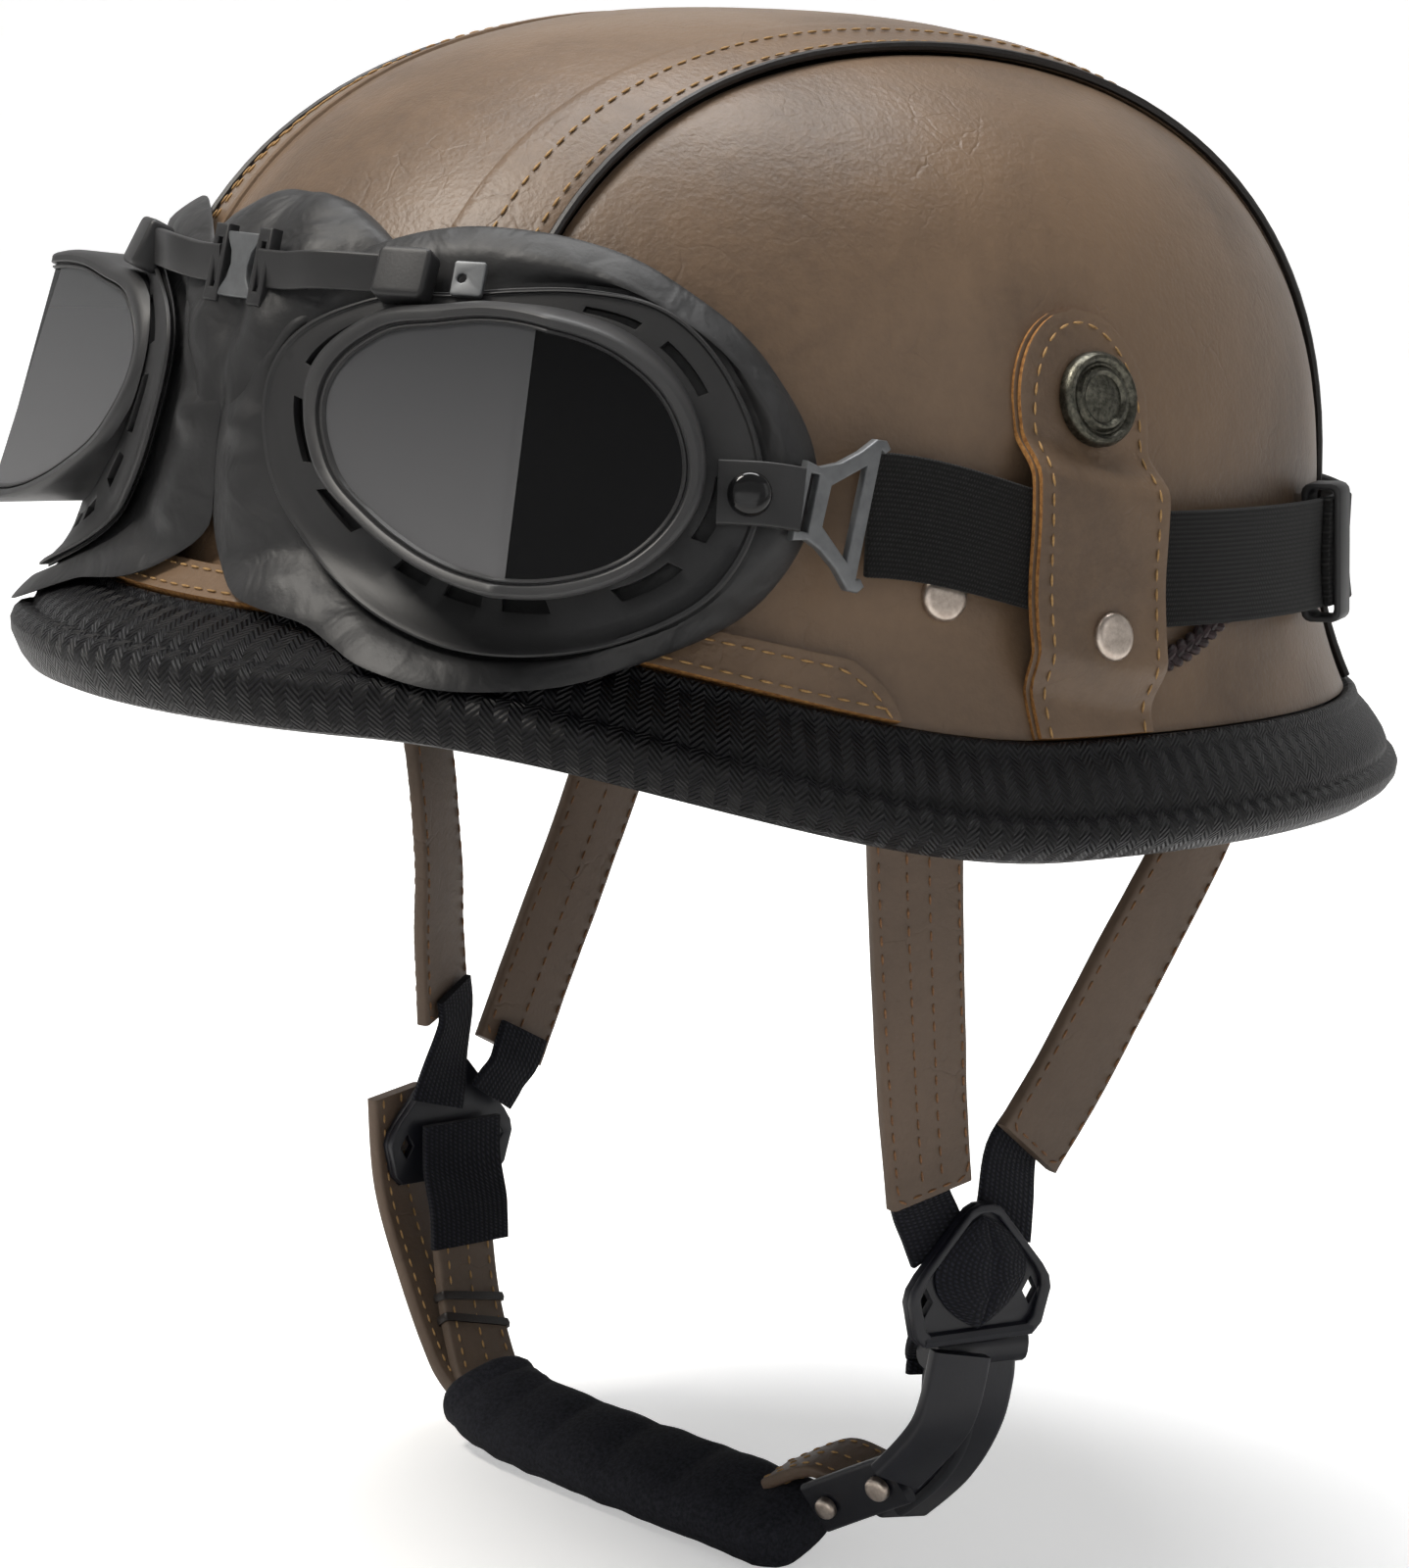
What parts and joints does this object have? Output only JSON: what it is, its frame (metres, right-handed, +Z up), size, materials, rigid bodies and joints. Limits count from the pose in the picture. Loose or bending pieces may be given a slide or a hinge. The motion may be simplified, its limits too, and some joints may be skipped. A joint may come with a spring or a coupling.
{
  "type": "half shell motorcycle helmet",
  "caption": "Leather covered half shell motorcycle helmet with a herringbone rim trim, split lens goggles on an elastic strap, and a padded chin strap with its buckle closed.",
  "frame": {"origin": "inside of the crown, where the helmet sits on the top of a head", "axes": "+Z up, the front looks along -Y, the wearer's left side is +X"},
  "size_m": [0.2402, 0.3058, 0.3066],
  "materials": {
    "shell": "satin moulded shell",
    "leather": "waxed grain leather",
    "trim": "embossed herringbone",
    "piping": "satin",
    "elastic": "ribbed woven elastic",
    "goggle_plastic": "matte moulded",
    "cushion": "soft matte leatherette",
    "lens": "smoke tint",
    "grey_metal": "satin grey",
    "nickel": "brushed",
    "antique": "aged",
    "webbing": "woven"
  },
  "bodies": {
    "root": {"adjuster_left": "goggle_plastic", "adjuster_right": "goggle_plastic", "braided_cord_left": "piping", "braided_cord_right": "piping", "bridge_clip": "grey_metal", "bridge_strap_left": "goggle_plastic", "bridge_strap_right": "goggle_plastic", "brow_band": "leather", "buckle_body": "goggle_plastic", "buckle_lever": "goggle_plastic", "buckle_rivet": "nickel", "buckle_tongue": "leather", "centre_panel": "leather", "chin_leather": "leather", "chin_loop": "leather", "chin_pad": "webbing", "chin_webbing_left": "webbing", "chin_webbing_right": "webbing", "front_rivet_left": "nickel", "front_rivet_right": "nickel", "front_strap_left": "leather", "front_strap_right": "leather", "front_webbing_left": "webbing", "front_webbing_right": "webbing", "goggle_frame_left": "goggle_plastic", "goggle_frame_right": "goggle_plastic", "goggle_pad_left": "cushion", "goggle_pad_right": "cushion", "goggle_rim_left": "goggle_plastic", "goggle_rim_right": "goggle_plastic", "goggle_strap": "elastic", "hard_shell": "shell", "lens_front_left": "lens", "lens_front_right": "lens", "lens_side_left": "lens", "lens_side_right": "lens", "piping_left": "piping", "piping_right": "piping", "pivot_button_left": "goggle_plastic", "pivot_button_right": "goggle_plastic", "rear_strap_left": "leather", "rear_strap_right": "leather", "rear_webbing_left": "webbing", "rear_webbing_right": "webbing", "rim_trim": "trim", "side_panel_left": "leather", "side_panel_right": "leather", "side_tab_left": "leather", "side_tab_right": "leather", "snap_button_left": "antique", "snap_button_right": "antique", "strap_hook_left": "grey_metal", "strap_hook_right": "grey_metal", "strap_link_left": "goggle_plastic", "strap_link_right": "goggle_plastic", "strap_slider": "goggle_plastic", "strap_tail": "leather", "tab_rivet_left": "nickel", "tab_rivet_right": "nickel", "tongue_rivet": "nickel"}
  },
  "joints": []
}
